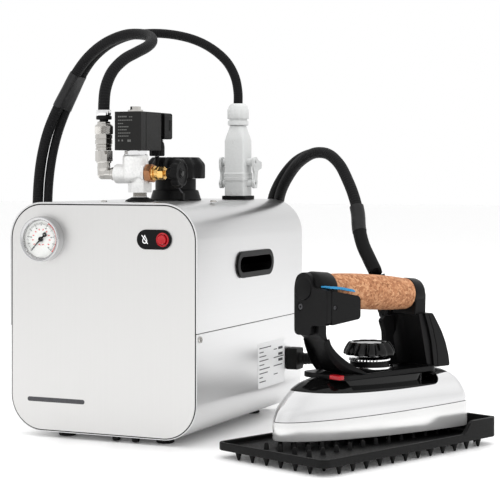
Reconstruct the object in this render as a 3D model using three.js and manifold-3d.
// Steam generator iron: a boiler in a sheet-metal casing, its valve group and connector on top,
// and a hand iron with a cork grip that stands on a rubber rest, joined by a steam hose and a cable.
// Millimetres, +Z up. Inside the group X runs along the casing's front and Y from its front to its
// back, from the front panel's lower left corner, and Z starts at the floor.
import * as THREE from "three";
import { mergeVertices } from "three/addons/utils/BufferGeometryUtils.js";
import Module from "manifold-3d";

const wasm = await Module();
wasm.setup();

// ---------------------------------------------------------------- driving dimensions
const GAP = 0.3;

const PANEL = { width: 228, height: 250, bottom: 8.75, corner: 38, sheet: 1.5 };
const CASING = { clearance: 1.2, sheet: 1.8, depth: 296, seam: 122.75, lowerInset: 1 };
const FOOT = { radius: 10, left: 57, right: 180, front: 25, rear: 257 };
const RECESS = { y: 150.75, z: 190.3, length: 102, height: 30, lip: 3, proud: 1.6, depth: 28 };
const TOP = PANEL.bottom + PANEL.height + CASING.clearance + CASING.sheet;
const SIDE = PANEL.width + CASING.clearance + CASING.sheet;

const BOILER = { x: 128.6, y: 150, z: 108, radius: 68, length: 204, wall: 3, neckBore: 14 };
const VALVE = { x: 128.8, y: 62, coilX: 123.3, axisZ: 293.3 };
const FILLER = { x: 128.6, y: 152, baseRadius: 30.3, capRadius: 35 };
const CONNECTOR = { x: 173.2, y: 232, width: 25.7, gasket: 31, pivotZ: 285.6, latchZ: 307.3 };
const COUPLER = { x: 82.6, y: 62 };
const GAUGE = { x: 42, z: 220.8, radius: 25.2, front: -12 };
const INDICATOR = { x: 179.75, z: 222.4, width: 41.5, height: 21.4, buttonX: 190.4 };
const MAINS = { y: 254, z: 70, height: 25.6, width: 22, reach: 14, relief: 30, cord: 8 };
const HOSE = 13.3;
const CABLE = 11.2;

const IRON = { x: 331, y: -22, yaw: 64.5, length: 234, half: 60, sole: 19, noseTop: 38.5, heelTop: 47 };
const REST = { x: 411.3, y: -91.5, yaw: 68.3, length: 277, width: 153.5, corner: 10, pitch: 20.1 };

// ---------------------------------------------------------------- finishes
const finish = (color, roughness, metalness) => new THREE.MeshStandardMaterial({ color, roughness, metalness });
const STEEL = finish(0xc9cacb, 0.32, 0.9);
const BRUSHED = finish(0xd4d5d6, 0.42, 0.8);
const CHROME = finish(0xe8e9ea, 0.12, 1);
const CAST = finish(0xd8d8d4, 0.55, 0.6);
const NICKEL = finish(0xcfcbc2, 0.25, 1);
const BRASS = finish(0xc79a4a, 0.3, 1);
const COPPER = finish(0xb5764a, 0.4, 1);
const BLACK = finish(0x1b1b1c, 0.45, 0);
const GLOSS_BLACK = finish(0x0b0b0c, 0.12, 0);
const RUBBER = finish(0x151515, 0.8, 0);
const GREY = finish(0xd3d4d3, 0.5, 0);
const WHITE = finish(0xf2f2ef, 0.5, 0);
const RED = finish(0xb3121b, 0.25, 0);
const BLUE = finish(0x1279b8, 0.3, 0);
const CORK = finish(0xc98d5c, 0.8, 0);
const GLASS = finish(0xe6eef0, 0.05, 0);

// ---------------------------------------------------------------- shape helpers
function solid(geometry) {
  const bare = new THREE.BufferGeometry();
  bare.setAttribute("position", geometry.getAttribute("position"));
  if (geometry.index) bare.setIndex(geometry.index);
  const merged = mergeVertices(bare, 1e-3);
  const triVerts = new Uint32Array(merged.index.array);
  return new wasm.Manifold(
    new wasm.Mesh({ numProp: 3, vertProperties: merged.attributes.position.array, triVerts }),
  );
}

function geometryOf(manifold) {
  const mesh = manifold.getMesh();
  const geometry = new THREE.BufferGeometry();
  geometry.setAttribute("position", new THREE.BufferAttribute(new Float32Array(mesh.vertProperties), 3));
  geometry.setIndex(new THREE.BufferAttribute(new Uint32Array(mesh.triVerts), 1));
  return geometry;
}

const join = (...shapes) => geometryOf(shapes.map(solid).reduce((all, one) => all.add(one)));
const cut = (body, ...tools) => geometryOf(tools.map(solid).reduce((all, one) => all.subtract(one), solid(body)));
const common = (a, b) => geometryOf(solid(a).intersect(solid(b)));

// A box between two corners.
function block(x0, y0, z0, x1, y1, z1) {
  const box = new THREE.BoxGeometry(x1 - x0, y1 - y0, z1 - z0);
  return box.translate((x0 + x1) / 2, (y0 + y1) / 2, (z0 + z1) / 2);
}

// A turned body about the Z axis through (x, y); the profile is [radius, z] from bottom to top.
function turned(x, y, profile, sides = 24) {
  const points = profile.map(([radius, z]) => new THREE.Vector2(radius, z));
  return new THREE.LatheGeometry(points, sides).rotateX(Math.PI / 2).translate(x, y, 0);
}

const rod = (x, y, radius, z0, z1, sides = 24) =>
  turned(x, y, [[0, z0], [radius, z0], [radius, z1], [0, z1]], sides);

const ring = (x, y, inner, outer, z0, z1, sides = 24) =>
  turned(x, y, [[inner, z0], [outer, z0], [outer, z1], [inner, z1], [inner, z0]], sides);

// Turns a body made about the Z axis so that its axis lies along X or along Y.
const alongX = (geometry, x, y, z) => geometry.rotateY(Math.PI / 2).translate(x, y, z);
const alongY = (geometry, x, y, z) => geometry.rotateX(-Math.PI / 2).translate(x, y, z);

function raised(shape, z0, z1, curveSegments = 8) {
  const options = { depth: z1 - z0, bevelEnabled: false, curveSegments };
  return new THREE.ExtrudeGeometry(shape, options).translate(0, 0, z0);
}

// A shape drawn in the XZ plane, pushed along Y; and one drawn in the YZ plane, pushed along X.
const pushedY = (shape, y0, y1, segments = 8) =>
  raised(shape, 0, y1 - y0, segments).rotateX(Math.PI / 2).translate(0, y1, 0);

function pushedX(shape, x0, x1, segments = 8) {
  const turn = new THREE.Matrix4().makeBasis(
    new THREE.Vector3(0, 1, 0),
    new THREE.Vector3(0, 0, 1),
    new THREE.Vector3(1, 0, 0),
  );
  return raised(shape, 0, x1 - x0, segments).applyMatrix4(turn).translate(x0, 0, 0);
}

function roundedRect(x0, y0, x1, y1, radius) {
  const shape = new THREE.Shape();
  shape.absarc(x1 - radius, y0 + radius, radius, -Math.PI / 2, 0);
  shape.absarc(x1 - radius, y1 - radius, radius, 0, Math.PI / 2);
  shape.absarc(x0 + radius, y1 - radius, radius, Math.PI / 2, Math.PI);
  shape.absarc(x0 + radius, y0 + radius, radius, Math.PI, 1.5 * Math.PI);
  shape.closePath();
  return shape;
}

const stadium = (x, y, width, height) =>
  roundedRect(x - width / 2, y - height / 2, x + width / 2, y + height / 2, height / 2 - 0.01);

function polygon(points) {
  return new THREE.Shape(points.map(([x, y]) => new THREE.Vector2(x, y)));
}

function hexagon(acrossFlats, z0, z1, x = 0, y = 0, turn = 0) {
  const radius = acrossFlats / Math.sqrt(3);
  return rod(0, 0, radius, z0, z1, 6).rotateZ(turn).translate(x, y, 0);
}

// A round bar along a smooth curve through the points.
function tube(points, diameter, sides, steps) {
  const curve = new THREE.CatmullRomCurve3(points.map((p) => new THREE.Vector3(...p)), false, "centripetal");
  const section = new THREE.Shape();
  for (let i = 0; i < sides; i++) {
    const angle = (2 * Math.PI * i) / sides;
    const x = (diameter / 2) * Math.cos(angle);
    const y = (diameter / 2) * Math.sin(angle);
    if (i === 0) section.moveTo(x, y);
    else section.lineTo(x, y);
  }
  return new THREE.ExtrudeGeometry(section, { steps, extrudePath: curve, bevelEnabled: false });
}

// A closed skin over rings of points, each ring with the same count, from the lowest to the highest.
function loft(rings) {
  const count = rings[0].length;
  const positions = rings.flat(2);
  const index = [];
  for (let level = 0; level < rings.length - 1; level++) {
    for (let i = 0; i < count; i++) {
      const a = level * count + i;
      const b = level * count + ((i + 1) % count);
      index.push(a, b, b + count, a, b + count, a + count);
    }
  }
  const flat = (ringPoints) => ringPoints.map(([x, y]) => new THREE.Vector2(x, y));
  const last = (rings.length - 1) * count;
  for (const [a, b, c] of THREE.ShapeUtils.triangulateShape(flat(rings[0]), [])) index.push(a, c, b);
  for (const [a, b, c] of THREE.ShapeUtils.triangulateShape(flat(rings.at(-1)), [])) {
    index.push(last + a, last + b, last + c);
  }
  const geometry = new THREE.BufferGeometry();
  geometry.setAttribute("position", new THREE.Float32BufferAttribute(positions, 3));
  geometry.setIndex(index);
  return geometry;
}

const part = new THREE.Group();

function add(name, geometry, material, parent = part) {
  const mesh = new THREE.Mesh(geometry, material);
  mesh.name = name;
  parent.add(mesh);
  return mesh;
}

// ---------------------------------------------------------------- casing
function makeCasing() {
  const { width, height, bottom, corner, sheet } = PANEL;
  const outline = roundedRect(0, bottom, width, bottom + height, corner);
  const gaugeHole = alongY(rod(0, 0, 20.6, 0, 4, 20), GAUGE.x, -1, GAUGE.z);
  const buttonHole = alongY(rod(0, 0, 7, 0, 4, 14), INDICATOR.buttonX, -1, INDICATOR.z);
  add("front_panel", cut(pushedY(outline, 0, sheet, 7), gaugeHole, buttonHole), BRUSHED);

  const slots = [];
  for (let i = 0; i < 4; i++) {
    const z = 60 + 18 * i;
    slots.push(pushedY(stadium(width / 2, z, 90, 6), CASING.depth - 4, CASING.depth + 1, 2));
  }
  const rear = pushedY(outline, CASING.depth - sheet, CASING.depth, 7);
  add("rear_panel", cut(rear, ...slots), STEEL);

  add("upper_cover", makeUpperCover(), STEEL);
  add("lower_casing", makeLowerCasing(), STEEL);

  const places = {
    foot_front_left: [FOOT.left, FOOT.front],
    foot_front_right: [FOOT.right, FOOT.front],
    foot_rear_left: [FOOT.left, FOOT.rear],
    foot_rear_right: [FOOT.right, FOOT.rear],
  };
  const top = PANEL.bottom - CASING.clearance - CASING.sheet - GAP;
  for (const [name, [x, y]] of Object.entries(places)) {
    const profile = [[0, 0], [FOOT.radius - 1.5, 0], [FOOT.radius, 1.5], [FOOT.radius, top], [0, top]];
    add(name, turned(x, y, profile, 20), RUBBER);
  }
}

// One half of the wrap-round sheet: a U that stands on the seam, or hangs from it.
function sheetU(offset, sheet, seam, top) {
  const { width, height, bottom, corner } = PANEL;
  const shape = new THREE.Shape();
  const sign = top ? 1 : -1;
  const level = top ? bottom + height : bottom;
  const curveZ = level - sign * corner;
  for (const [grow, forward] of [[offset, true], [offset - sheet, false]]) {
    const radius = corner + grow;
    const left = -grow;
    const right = width + grow;
    if (forward) {
      shape.moveTo(right, seam);
      shape.absarc(width - corner, curveZ, radius, 0, (sign * Math.PI) / 2, !top);
      shape.absarc(corner, curveZ, radius, (sign * Math.PI) / 2, Math.PI, !top);
      shape.lineTo(left, seam);
    } else {
      shape.lineTo(left, seam);
      shape.absarc(corner, curveZ, radius, Math.PI, (sign * Math.PI) / 2, top);
      shape.absarc(width - corner, curveZ, radius, (sign * Math.PI) / 2, 0, top);
      shape.lineTo(right, seam);
    }
  }
  shape.closePath();
  return shape;
}

function makeUpperCover() {
  const offset = CASING.clearance + CASING.sheet;
  const shape = sheetU(offset, CASING.sheet, CASING.seam, true);
  const body = pushedY(shape, 0, CASING.depth, 7);
  const grab = stadium(RECESS.y, RECESS.z, RECESS.length - 2 * RECESS.lip + 0.8, RECESS.height - 2 * RECESS.lip + 0.8);
  return cut(
    body,
    rod(VALVE.x, VALVE.y, 8.6, TOP - 10, TOP + 5, 16),
    rod(FILLER.x, FILLER.y, 18, TOP - 10, TOP + 5, 20),
    block(CONNECTOR.x - 10, CONNECTOR.y - 10, TOP - 10, CONNECTOR.x + 10, CONNECTOR.y + 10, TOP + 5),
    pushedX(grab, -offset - 5, SIDE + 5, 5),
  );
}

function makeLowerCasing() {
  const offset = CASING.clearance + CASING.sheet - CASING.lowerInset;
  const shape = sheetU(offset, CASING.sheet, CASING.seam - GAP, false);
  const body = pushedY(shape, 0.4, CASING.depth - 0.4, 8);
  const inlet = block(SIDE - 8, MAINS.y - 8, MAINS.z - 10, SIDE + 3, MAINS.y + 8, MAINS.z + 10);
  return cut(body, inlet);
}

function makeGrabRecesses() {
  const { y, z, length, height, lip, proud, depth } = RECESS;
  const mouth = stadium(y, z, length - 2 * lip - 2, height - 2 * lip - 2);
  const wall = stadium(y, z, length - 2 * lip, height - 2 * lip);
  const flange = stadium(y, z, length, height);
  const cup = join(
    pushedX(flange, SIDE + GAP, SIDE + GAP + proud, 5),
    pushedX(wall, SIDE - depth, SIDE + 1, 5),
  );
  const hollow = pushedX(mouth, SIDE - depth + 1.5, SIDE + 5, 5);
  const right = cut(cup, hollow);
  const mirror = new THREE.Matrix4().makeRotationZ(Math.PI);
  const left = right.clone().applyMatrix4(mirror).translate(PANEL.width, 2 * y, 0);
  add("grab_recess_right", right, BLACK);
  add("grab_recess_left", left, BLACK);
}

// ---------------------------------------------------------------- inside
function makeBoiler() {
  const { x, y, z, radius, length, wall, neckBore } = BOILER;
  const shell = (r, half) =>
    alongY(
      turned(0, 0, [[0, -half], [r - 14, -half], [r - 4, -half + 5], [r, -half + 14], [r, half - 14],
        [r - 4, half - 5], [r - 14, half], [0, half]], 20),
      x, y, z,
    );
  const neckTop = TOP + 0.01 - CASING.sheet;
  const outside = join(
    shell(radius, length / 2),
    rod(FILLER.x, FILLER.y, neckBore + 2.5, z + radius - 12, neckTop + 4, 14),
    rod(VALVE.x, VALVE.y, 8, z + radius - 12, TOP + 6, 12),
  );
  const tank = cut(
    outside,
    shell(radius - wall, length / 2 - wall),
    rod(FILLER.x, FILLER.y, neckBore, z, TOP + 20, 14),
    rod(VALVE.x, VALVE.y, 5, z, TOP + 20, 12),
    alongY(rod(0, 0, 30, 0, 20, 24), x, y + length / 2 - 10, z - 20),
  );
  add("boiler_tank", tank, STEEL);

  const flangeY = y + length / 2 + GAP;
  const flange = alongY(rod(0, 0, 38, 0, 6, 24), x, flangeY, z - 20);
  const loop = tube(
    [[x - 18, flangeY + 3, z - 20], [x - 18, y + 60, z - 20], [x - 18, y - 60, z - 22], [x, y - 82, z - 24],
      [x + 18, y - 60, z - 22], [x + 18, y + 60, z - 20], [x + 18, flangeY + 3, z - 20]],
    8, 8, 30,
  );
  add("heating_element", join(flange, loop), COPPER);

  add(
    "pressure_switch",
    join(rod(80, 218, 5, z + 53, 190, 12), rod(80, 218, 16, 189, 205, 20), block(68, 208, 204, 92, 228, 222)),
    BLACK,
  );

  const floor = PANEL.bottom - CASING.clearance + CASING.lowerInset + GAP;
  const saddle = (y0) => block(x - 52, y0, floor, x + 52, y0 + 6, z - 20);
  const rail = (x0) => block(x0, y - 75, floor, x0 + 10, y + 75, floor + 5);
  const drum = alongY(rod(0, 0, radius + 0.6, -length, length, 28), x, y, z);
  add("boiler_cradle", cut(join(saddle(y - 70), saddle(y + 64), rail(x - 40), rail(x + 30)), drum), STEEL);
}

// ---------------------------------------------------------------- front panel fittings
function makeGauge() {
  const { x, z, radius, front } = GAUGE;
  const depth = -front;
  const bezel = join(
    alongY(
      turned(0, 0, [[radius - 5, 0], [radius - 1, 0], [radius, 1.5], [radius, depth - GAP], [20, depth - GAP],
        [20, depth + 26], [18.6, depth + 26], [18.6, 8], [radius - 5, 8], [radius - 5, 0]], 28),
      x, front, z,
    ),
    alongY(rod(0, 0, 19, depth + 25, depth + 27, 24), x, front, z),
    alongY(rod(0, 0, 5, depth + 26, depth + 40, 12), x, front, z),
  );
  add("gauge_case", bezel, CHROME);
  add("gauge_dial", alongY(ring(0, 0, 2, 18.2, 6.5, 7.5, 20), x, front, z), WHITE);
  const needle = join(
    alongY(rod(0, 0, 1.5, 4.4, 8.6, 12), x, front, z),
    alongY(rod(0, 0, 2.6, 4.2, 5.2, 12), x, front, z),
    new THREE.BoxGeometry(1.3, 0.7, 17).translate(0, 0, 8).rotateY(GAUGE_REST).translate(x, front + 4.8, z),
    new THREE.BoxGeometry(2.6, 0.7, 6).translate(0, 0, -3.5).rotateY(GAUGE_REST).translate(x, front + 4.8, z),
  );
  add("gauge_needle", needle, GLOSS_BLACK);
  add("gauge_lens", alongY(rod(0, 0, radius - 5.3, 1.2, 2.6, 24), x, front, z), GLASS);
}
const GAUGE_REST = THREE.MathUtils.degToRad(225);

function makeIndicator() {
  const { x, z, width, height, buttonX } = INDICATOR;
  const plate = pushedY(stadium(x, z, width, height), -2, -GAP, 10);
  const socket = alongY(rod(0, 0, 6, -1, 4), buttonX, -2, z);
  const lip = alongY(ring(0, 0, 5.6, 7, 0, 1.2), buttonX, -2.9, z);
  add("indicator_plate", join(cut(plate, socket), lip), BLACK);
  const profile = [[0, 0], [3.4, 0.5], [5, 2], [5, 15], [0, 15]];
  add("reset_button", alongY(turned(0, 0, profile, 20), buttonX, -5.2, z), RED);
}

// ---------------------------------------------------------------- valve group
function makeValve() {
  const { x, y, coilX, axisZ } = VALVE;
  const flange = [[9, TOP + GAP], [16.3, TOP + GAP], [16.3, TOP + 1.6], [13, TOP + 4.4], [9, TOP + 5], [9, TOP + GAP]];
  add("steam_flange", turned(x, y, flange, 28), RUBBER);

  const body = join(
    hexagon(24, 271.9, 282.9, x, y, Math.PI / 12),
    rod(x, y, 8.2, TOP + 6.3, 272.5, 20),
    alongX(rod(0, 0, 10.7, 99, 135.4, 24), 0, y, axisZ),
    rod(coilX, y, 14.6, 288, 315, 28),
    turned(coilX - 1, y - 5, [[0, 284], [6, 285.6], [9.4, 289], [10.2, 294], [10.2, 300], [0, 300]], 20),
  );
  add("valve_body", body, CAST);
  add(
    "armature_tube",
    join(hexagon(22.6, 315.3, 318.9, coilX, y, 0.3), rod(coilX, y, 6.5, 318, 362.8, 20)),
    CHROME,
  );

  const coil = block(106.4, y - 18, 319.6, 139.8, y + 31, 363);
  add("solenoid_coil", cut(coil, rod(coilX, y, 6.9, 310, 370, 20)), BLACK);
  add(
    "coil_nut",
    join(rod(coilX, y, 8.7, 363.4, 366.2, 20), hexagon(10.5, 366, 369.2, coilX, y, 0.4)),
    NICKEL,
  );

  const plug = join(
    block(107.5, y + 31.3, 336, 138.5, y + 40, 361.5),
    block(106.6, y + 39, 332.7, 140.4, y + 58, 363),
    rod(127, 107.5, 6.5, 329, 334, 16),
    rod(127, 107.5, 8.8, 313.5, 330, 20),
  );
  add("coil_plug", plug, BLACK);
}

function makeOutlet() {
  const { x, y } = COUPLER;
  const { axisZ } = VALVE;
  const elbow = join(
    alongX(rod(0, 0, 6.6, x, 98.7, 20), 0, y, axisZ),
    rod(x, y, 7.2, axisZ, 307.5, 20),
    turned(x, y, [[0, 286.6], [4.6, 287.4], [7.2, 290.4], [7.2, 294], [0, 294]], 20),
    hexagon(17.4, 307.5, 319.4, x, y, 0.35),
  );
  add("outlet_elbow", elbow, NICKEL);

  const socket = [[0, 319.7], [9.4, 319.7], [9.4, 326.6], [8.1, 326.6], [8.1, 352.6], [0, 352.6]];
  add("coupler_socket", turned(x, y, socket, 24), NICKEL);

  const sleeve = [[8.5, 326.9], [10, 326.9], [10, 337.4], [10.4, 337.9], [10.4, 348.3], [9.8, 348.9], [8.5, 348.9],
    [8.5, 326.9]];
  add("coupler_sleeve", turned(x, y, sleeve, 28), NICKEL);

  const tail = [[0, 352.9], [5, 352.9], [5, 355.2], [8.9, 355.2], [8.9, 359.2], [0, 359.2]];
  add("coupler_tail", turned(x, y, tail, 20), BLACK);
  add("hose_clamp", ring(x, y, HOSE / 2 + 0.9, 8.4, 359.6, 365.8, 20), CHROME);
}

function makeRegulator() {
  const { y, axisZ } = VALVE;
  const z = axisZ + 0.5;
  const body = join(
    alongX(hexagon(18, 138.6, 148, 0, 0, Math.PI / 6), 0, y, z),
    alongX(rod(0, 0, 7.4, 147, 155, 20), 0, y, z),
    alongX(hexagon(13, 154.5, 160.5), 0, y, z),
  );
  add("regulator_body", cut(body, alongX(rod(0, 0, 3.5, 143, 165, 12), 0, y, z)), BRASS);
  add("regulator_spindle", alongX(rod(0, 0, 3.1, 144, 173.6, 12), 0, y, z), BRASS);

  const lobes = 9;
  const edge = [];
  for (let i = 0; i < lobes * 4; i++) {
    const angle = (2 * Math.PI * i) / (lobes * 4);
    const radius = 15.7 + 0.7 * Math.cos(lobes * angle);
    edge.push([radius * Math.cos(angle), radius * Math.sin(angle)]);
  }
  const rings = [[1, 0], [1, 6.5], [0.93, 9.5], [0.6, 10.6]];
  const knob = loft(rings.map(([scale, level]) => edge.map(([a, b]) => [a * scale, b * scale, level])));
  add("regulator_knob", alongX(knob, 173.9, y, z), BLACK);
}

// ---------------------------------------------------------------- filler
function makeFiller() {
  const { x, y, baseRadius, capRadius } = FILLER;
  const base = [[17, TOP + GAP], [baseRadius, TOP + GAP], [baseRadius, TOP + 1.7], [26.8, 273.9], [24, 274.3],
    [24, 287.3], [20.4, 287.3], [20.4, 301], [17, 301], [17, TOP + GAP]];
  add("filler_base", turned(x, y, base, 26), BLACK);

  const lobes = 12;
  const edge = [];
  for (let i = 0; i < lobes * 4; i++) {
    const angle = (2 * Math.PI * i) / (lobes * 4);
    const radius = capRadius - 1 + Math.cos(lobes * angle);
    edge.push([radius * Math.cos(angle), radius * Math.sin(angle)]);
  }
  const rings = [[0.97, 287.7], [1, 289], [1, 304], [0.96, 308.5], [0.8, 312.6]];
  const cap = loft(rings.map(([scale, z]) => edge.map(([a, b]) => [x + a * scale, y + b * scale, z])));
  add("filler_cap", cut(cap, rod(x, y, 21.2, 280, 304, 24)), BLACK);
}

// ---------------------------------------------------------------- electrical connector
function makeConnector() {
  const { x, y, width, gasket, pivotZ, latchZ } = CONNECTOR;
  const half = width / 2;
  const pegReach = half + 9;
  const peg = (z, radius) => alongX(rod(0, 0, radius, -pegReach, pegReach, 16), x, y, z);
  const base = join(
    block(x - gasket / 2, y - gasket / 2, TOP + GAP, x + gasket / 2, y + gasket / 2, TOP + 4.6),
    block(x - half, y - half, TOP + 4, x + half, y + half, 289),
    block(x - half - 0.9, y - half - 0.9, 284.5, x + half + 0.9, y + half + 0.9, 289),
    peg(pivotZ - 4, 4.6),
  );
  add("connector_base", base, GREY);

  const square = (w, z) => [[x - w, y - w, z], [x + w, y - w, z], [x + w, y + w, z], [x - w, y + w, z]];
  const hood = join(
    loft([square(half + 0.9, 289.3), square(half + 0.9, 294), square(half, 294.2), square(half, 334.5),
      square(half - 2.6, 350.8), square(half - 3.4, 351.4)]),
    peg(latchZ, 4.6),
  );
  add("connector_hood", hood, GREY);

  const gland = [[0, 351.7], [12, 351.7], [12, 358], [10.6, 358.2], [10.6, 359.6], [13.2, 359.8], [13.2, 371.4],
    [11.3, 372], [10.6, 376.4], [7.4, 378.4], [0, 378.4]];
  add("connector_gland", turned(x, y, gland, 18), GREY);

  const arm = (side) =>
    pushedX(
      polygon([[y - 4.5, pivotZ - 10], [y + 4.5, pivotZ - 10], [y + 5, pivotZ + 10], [y + 19, pivotZ + 16],
        [y + 19, pivotZ + 22], [y + 2, pivotZ + 22], [y - 4.5, pivotZ + 16]]),
      x + side * (pegReach + 1.8) - 1.3,
      x + side * (pegReach + 1.8) + 1.3,
    );
  const bar = block(x - pegReach - 2.5, y + 15.5, pivotZ + 16.5, x + pegReach + 2.5, y + 19, pivotZ + 22);
  add("locking_lever", join(arm(1), arm(-1), bar), GREY);
}

// ---------------------------------------------------------------- mains lead
const CORD_START = SIDE + GAP + MAINS.reach + MAINS.relief + GAP;
const COIL = { x: 346, y: 352, middle: 46, turnsWide: 3, turnsHigh: 2 };
const PLUG = { x: 400, y: 304.3, z: 18.8 };
const MAINS_ROUTE = [
  [CORD_START, MAINS.y, MAINS.z],
  [CORD_START + 7, MAINS.y, MAINS.z],
  [CORD_START + 19, MAINS.y + 4, MAINS.z - 7],
  [CORD_START + 29, MAINS.y + 13, MAINS.z - 24],
  [CORD_START + 31, MAINS.y + 27, MAINS.z - 46],
  [CORD_START + 25, MAINS.y + 44, MAINS.z - 60],
  [CORD_START + 15.5, MAINS.y + 62, 4.4],
  [CORD_START + 9.5, MAINS.y + 80, 4.2],
  [COIL.x - 62.4, COIL.y, 4.2],
];

function makeMains() {
  const { y, z, height, width, reach, relief, cord } = MAINS;
  const housing = pushedX(
    roundedRect(y - width / 2, z - height / 2, y + width / 2, z + height / 2, 3),
    SIDE + GAP, SIDE + GAP + reach, 3,
  );
  const start = SIDE + GAP + reach - 1;
  const taper = turned(0, 0, [[0, 0], [7.5, 0], [6.4, 6], [5.2, relief + 1], [0, relief + 1]], 16);
  add("mains_gland", join(housing, alongX(taper, start, y, z)), RUBBER);
  add("mains_cord", tube(MAINS_ROUTE, cord, 8, 12), RUBBER);

  const { middle, turnsWide, turnsHigh } = COIL;
  const inner = middle - (turnsWide * cord) / 2;
  const outer = middle + (turnsWide * cord) / 2;
  add("mains_coil", ring(COIL.x, COIL.y, inner, outer, 0.2, turnsHigh * cord, 28), RUBBER);

  const pins = [-9.5, 9.5].map((side) => rod(side, 0, 2.4, 34, 55, 10));
  const body = turned(0, 0, [[0, -16], [5, -16], [6, 0], [13, 8], [18.6, 20], [18.6, 34.5], [0, 34.5]], 20);
  const plug = join(body, ...pins).rotateX(Math.PI / 2);
  add("mains_plug", plug.translate(PLUG.x, PLUG.y, PLUG.z), RUBBER);
}

// ---------------------------------------------------------------- hose and control cable
// Each rises from its own fitting; then both run as a pair over the left side, down to the floor,
// behind the casing, and up again. A point of the pair is [x, y, z, heading from hose to cable].
const HOSE_RISE = [
  [82.6, 62, 359.6], [82.6, 62, 372], [82.6, 66, 391], [85.5, 76, 410], [92, 92, 425], [98.5, 111, 434.5],
  [101, 132, 442.5], [96.5, 153, 450.5], [84.5, 171, 458], [66, 183.3, 462.5],
];
const CABLE_RISE = [
  [173.2, 232, 378.7], [173, 232, 392], [169.5, 231.5, 410], [160, 230, 428], [145, 227.5, 442.5],
  [126, 223.5, 454], [104, 217.5, 461.5], [74, 209.3, 465.5],
];
const PAIR_ROUTE = [
  [44, 195, 463.5, 92], [22, 199, 459, 91], [0, 203.5, 450, 89], [-20, 207, 436, 86], [-36, 208.5, 417.5, 79],
  [-48.5, 208.4, 396, 70], [-61, 207.7, 373, 58], [-73, 206.7, 345, 44], [-81, 205.6, 314, 33],
  [-85.5, 205, 280, 26], [-87, 205, 240, 24], [-87, 206, 200, 22], [-86, 209, 150, 16], [-83, 216.5, 102, 5],
  [-78, 230, 60, -10], [-70, 251, 31, -24], [-58, 276, 13, -38], [-40, 301, 6.5, -52], [-16, 322, 6.5, -63],
  [15, 337, 6.5, -73], [52, 346, 6.5, -84], [90, 349, 6.5, -89], [126, 349, 10, -92], [156, 346.5, 32, -102],
  [174, 343, 71, -118], [182, 337.5, 120, -138], [184.5, 331, 170, -160], [185.5, 323.5, 214, -182],
  [187, 313.5, 252, -204],
];
const ARC_ROUTE = [
  [187.5, 312, 256.5], [190.5, 307.5, 264.5], [203.5, 294, 279], [228, 278, 303.5], [251, 263, 314.5],
  [272, 250, 318], [292, 238, 313.5], [309, 226, 300.5], [323, 214, 282], [333.5, 204, 265], [341, 195, 248],
  [346.5, 185, 229], [353, 177, 212], [361, 169.8, 197], [367.6, 164.2, 182.4],
];
const PAIR_SPACING = (HOSE + CABLE) / 2 + 0.6;

// The pair's route moved sideways, square to its own run, and kept clear of the floor.
function beside(route, distance, radius) {
  const curve = new THREE.CatmullRomCurve3(route.map(([x, y, z]) => new THREE.Vector3(x, y, z)), false, "centripetal");
  return route.map(([x, y, z, heading], i) => {
    const along = curve.getTangent(i / (route.length - 1));
    const angle = THREE.MathUtils.degToRad(heading);
    const side = new THREE.Vector3(Math.cos(angle), Math.sin(angle), 0);
    side.addScaledVector(along, -side.dot(along)).normalize().multiplyScalar(distance);
    return [x + side.x, y + side.y, Math.max(z + side.z, radius + 0.15)];
  });
}

function makeHoses() {
  const share = HOSE / (HOSE + CABLE);
  const hose = [...HOSE_RISE, ...beside(PAIR_ROUTE, -(1 - share) * PAIR_SPACING, HOSE / 2)];
  const cable = [...CABLE_RISE, ...beside(PAIR_ROUTE, share * PAIR_SPACING, CABLE / 2)];
  add("steam_hose", tube(hose, HOSE, 8, 42), RUBBER);
  add("control_cable", tube(cable, CABLE, 8, 44), RUBBER);
  add("iron_hose", tube(ARC_ROUTE, 17, 8, 18), RUBBER);
}

// ---------------------------------------------------------------- iron
// Inside the iron's group X runs from the nose to the heel and Y to its left side.
const handset = new THREE.Group();
handset.position.set(IRON.x, IRON.y, 0);
handset.rotation.z = THREE.MathUtils.degToRad(IRON.yaw);

// The flat-iron outline: a blunt nose that widens to full breadth, and a rounded heel.
function ironOutline(nose, half, heel, heelRadius = 14, steps = 10) {
  const side = [];
  const run = heel - nose;
  for (let i = 1; i <= steps; i++) {
    const along = (run - heelRadius) * Math.pow(i / steps, 1.7);
    const rest = Math.max(0, 1 - along / (1.06 * run));
    side.push([nose + along, half * Math.pow(1 - Math.pow(rest, 2.22), 1 / 1.82)]);
  }
  const edge = side.at(-1)[1];
  for (let i = 1; i <= 3; i++) {
    const angle = (Math.PI / 2) * (i / 3);
    side.push([heel - heelRadius + heelRadius * Math.sin(angle), edge - heelRadius * (1 - Math.cos(angle))]);
  }
  const left = side.map(([u, w]) => [u, w]).reverse();
  const right = side.map(([u, w]) => [u, -w]);
  return [[nose, 0], ...right, ...left];
}

const seamAt = (u) => IRON.noseTop + ((IRON.heelTop - IRON.noseTop) * u) / IRON.length;

// The pressed cover's dome: rings from the seam to the crown, drawn in by inset.
function dome(grow, foot) {
  const levels = [
    [0.4, 59.6, 233.6, null], [5, 58.8, 233.4, 50], [12, 56, 233, 58], [21, 50, 232, 66.5], [33, 41, 230, 73.5],
    [46, 30, 227, 77.6], [56, 18, 222, 79.2],
  ];
  return loft(
    levels.map(([nose, half, heel, z], i) =>
      ironOutline(nose - grow, half + grow, heel + grow).map(([u, w]) => {
        const level = z === null ? seamAt(u) + foot : Math.max(z, seamAt(u) + 4 + i) + grow;
        return [u, w, level];
      }),
    ),
  );
}

function shieldOutline(grow) {
  return polygon(ironOutline(24 - grow, 49 + grow, 213 + grow, 18, 8));
}

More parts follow.
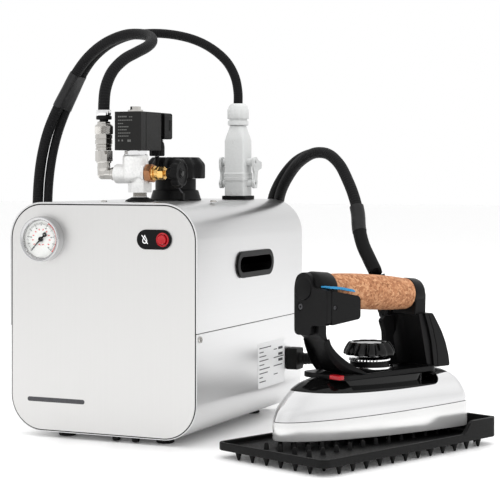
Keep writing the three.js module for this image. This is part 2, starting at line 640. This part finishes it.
function makeIron() {
  const { length, half, sole, heelTop } = IRON;
  const slab = raised(polygon(ironOutline(0, half, length)), sole, heelTop);
  const rise = Math.atan2(IRON.heelTop - IRON.noseTop, length);
  const above = new THREE.BoxGeometry(400, 200, 40).translate(200, 0, 20).rotateY(-rise);
  above.translate(-20 * Math.cos(rise), 0, IRON.noseTop - 20 * Math.sin(rise));
  const vents = [];
  for (let i = 0; i < 5; i++) {
    for (const side of [-1, 1]) {
      const u = 60 + 36 * i;
      vents.push(rod(u, side * (14 + 4.5 * i), 2.5, sole - 1, sole + 3, 5));
    }
  }
  add("sole_plate", cut(slab, above, ...vents), BRUSHED, handset);

  const hollow = dome(-1.6, -8);
  const opening = raised(shieldOutline(0.4), 40, 100);
  add("iron_cover", cut(dome(0, GAP), hollow, opening), CHROME, handset);

  const skin = common(raised(shieldOutline(0), 56, 100), dome(0.9, 0));
  const neck = raised(polygon(ironOutline(66, 33, 207, 16, 8)), 60, 110);
  const ledge = cut(block(78, -60, 67.6, 240, 60, 110), neck);
  add("heat_shield", cut(skin, ledge, block(58, -60, 77.3, 240, 60, 110)), BLACK, handset);

  makeHandle();
  makeGrip();
  makeThermostat();
}

function makeHandle() {
  const tray = raised(roundedRect(62, -32, 211.4, 32, 12), 77.6, 83.3, 5);
  const basin = raised(roundedRect(100, -27, 200, 27, 10), 80, 100, 5);
  add("handle_base", cut(tray, basin), BLACK, handset);

  const face = polygon([[16.6, 175], [14, 184], [8, 188.8], [2.2, 189.6], [-4, 188.4], [-9, 184], [-11.2, 175.4],
    [-25.5, 174.7], [-31, 174], [-33.9, 171.5], [-33.9, 140], [-31, 137], [-9.5, 135.6], [-8.4, 128], [-4, 124.8],
    [9, 124.8], [15, 129], [16.6, 134]]);
  const strut = pushedYLocal(
    [[46, 126], [54, 120], [68, 102], [76, 90], [82, 83.6], [98, 83.6], [84, 91], [76, 98.5], [62, 114], [56, 124],
      [56, 164], [46, 164]],
    -16, 16,
  );
  const head = alongX(rod(0, 0, 18.6, 46, 71.5, 24), 0, 0, 0).rotateY(GRIP_TILT).translate(0, 0, GRIP_Z);
  add("front_upright", join(pushedX(face, 40, 46.7), strut, head), BLACK, handset);

  const cover = [[197, 140], [209.5, 140], [216, 131], [224, 119], [231, 106], [236, 92], [238, 80.2], [212.5, 80.2],
    [211.5, 86], [209, 108], [205, 122]];
  const wall = [[176, 83.6], [211.4, 83.6], [211.4, 112], [200, 141], [190, 141], [178, 137], [171, 131], [175.5, 115]];
  const rear = join(
    pushedYLocal(cover, -23, 23),
    pushedYLocal(wall, 16, 23),
    pushedYLocal([[190, 137.5], [205, 137.5], [206, 161], [191, 161]], -17, 17),
    alongX(rod(0, 0, 17.6, 190.4, 207, 24), 0, 0, 0).rotateY(GRIP_TILT).translate(0, 0, GRIP_Z),
  );
  add("rear_upright", rear, BLACK, handset);

  add("hose_boot", makeBoot(), RUBBER, handset);
}
const GRIP_TILT = THREE.MathUtils.degToRad(4.8);
const GRIP_Z = 177;

// A side outline in the iron's XZ plane, pushed across from y0 to y1.
const pushedYLocal = (points, y0, y1) => pushedY(polygon(points), y0, y1);

function makeBoot() {
  const route = [[192, 23.4, 136], [192, 31.5, 136], [191, 37.5, 142], [187.5, 41.6, 158], [183.5, 46.3, 178]];
  return tube(route, 15.6, 10, 10);
}

function makeGrip() {
  const profile = [[0, 72], [16.6, 72], [18.2, 90], [19, 115], [19, 145], [18.2, 170], [16.8, 190], [0, 190]];
  const grip = alongX(turned(0, 0, profile, 28), 0, 0, 0).rotateY(GRIP_TILT).translate(0, 0, GRIP_Z);
  add("cork_grip", grip, CORK, handset);

  const side = [[47, 137.2], [86, 141.5], [88.5, 144], [88.5, 163], [85.5, 166], [60, 170.6], [47, 172.4]];
  add("switch_housing", pushedYLocal(side, -34, -20.3), BLACK, handset);

  const lever = [[44, 175.3], [60, 173.6], [81, 169.8], [81.5, 171.4], [78, 173.2], [62, 176.2], [50, 177.4],
    [44, 177.4]];
  add("steam_lever", pushedYLocal(lever, -33, -20.6), BLUE, handset);
}

function makeThermostat() {
  const lobes = 12;
  const edge = [];
  for (let i = 0; i < lobes * 4; i++) {
    const angle = (2 * Math.PI * i) / (lobes * 4);
    const radius = 26 + 0.8 * Math.cos(lobes * angle);
    edge.push([radius * Math.cos(angle), radius * Math.sin(angle)]);
  }
  const rings = [[0.95, 97.3], [1, 98.8], [1, 103], [0.84, 111.4], [0.74, 113.2]];
  const knob = loft(rings.map(([scale, z]) => edge.map(([a, b]) => [135 + a * scale, b * scale, z])));
  add("thermostat_knob", knob, GLOSS_BLACK, handset);
  const dial = [[0, 86.8], [10, 86.8], [10, 92], [22.4, 92.6], [22.4, 94.6], [8, 96.2], [0, 96.2]];
  add("thermostat_dial", turned(135, 0, dial, 28), CHROME, handset);
}

// ---------------------------------------------------------------- rest
// Inside the rest's group X runs along its long side and Y across it.
function makeRest() {
  const { length, width, corner, pitch } = REST;
  const rest = new THREE.Group();
  rest.position.set(REST.x, REST.y, 0);
  rest.rotation.z = THREE.MathUtils.degToRad(REST.yaw);
  part.add(rest);

  const outside = roundedRect(0, 0, length, width, corner);
  const inside = roundedRect(4.5, 4.5, length - 4.5, width - 4.5, corner - 4.5);
  const rim = cut(raised(outside, 8.4, 16.6, 4), raised(inside, 11.5, 20, 4));
  const stop = cut(
    raised(roundedRect(222, 0, length, width, corner), 16, 29.5, 4),
    raised(roundedRect(200, 4.5, length - 4.5, width - 4.5, corner - 4.5), 10, 40, 4),
  );
  const pegs = [];
  const inset = 5;
  const rows = Math.floor((width - 2 * inset) / pitch);
  const columns = Math.floor((length - 2 * inset) / pitch);
  for (let i = 0; i <= columns; i++) {
    for (let j = 0; j <= rows; j++) {
      const onEdge = i === 0 || j === 0 || i === columns || j === rows;
      const inCorner = (i === 0 || i === columns) && (j === 0 || j === rows);
      const onGrid = i % 4 === 2 && j % 3 === 2;
      const underSole = i > 0 && i < columns && j > 1 && j < rows - 1;
      if (inCorner || !(onEdge || underSole)) continue;
      const x = inset + 1.5 + i * pitch;
      const y = inset + j * pitch;
      if (onEdge || onGrid) pegs.push(turned(x, y, [[0, 0], [1.3, 0], [2.8, 9], [0, 9]], 5));
      if (underSole) pegs.push(turned(x, y, [[0, 11], [2.4, 11], [1.5, 18.6], [0, 18.6]], 5));
    }
  }
  add("rubber_rest", join(rim, stop, ...pegs), RUBBER, rest);
}

makeCasing();
makeGrabRecesses();
makeBoiler();
makeGauge();
makeIndicator();
makeValve();
makeOutlet();
makeRegulator();
makeFiller();
makeConnector();
makeMains();
makeHoses();
part.add(handset);
makeIron();
makeRest();

// The whole object is moved so that its own box, without the free cords, is centred on the origin.
const CORDS = ["steam_hose", "control_cable", "iron_hose", "mains_cord", "mains_coil", "mains_plug"];
part.updateMatrixWorld(true);
const extent = new THREE.Box3();
part.traverse((node) => {
  if (node.isMesh && !CORDS.includes(node.name)) extent.expandByObject(node, true);
});
const centre = extent.getCenter(new THREE.Vector3());
const placed = new THREE.Group();
placed.position.set(-centre.x, -centre.y, 0);
placed.add(part);

export default placed;
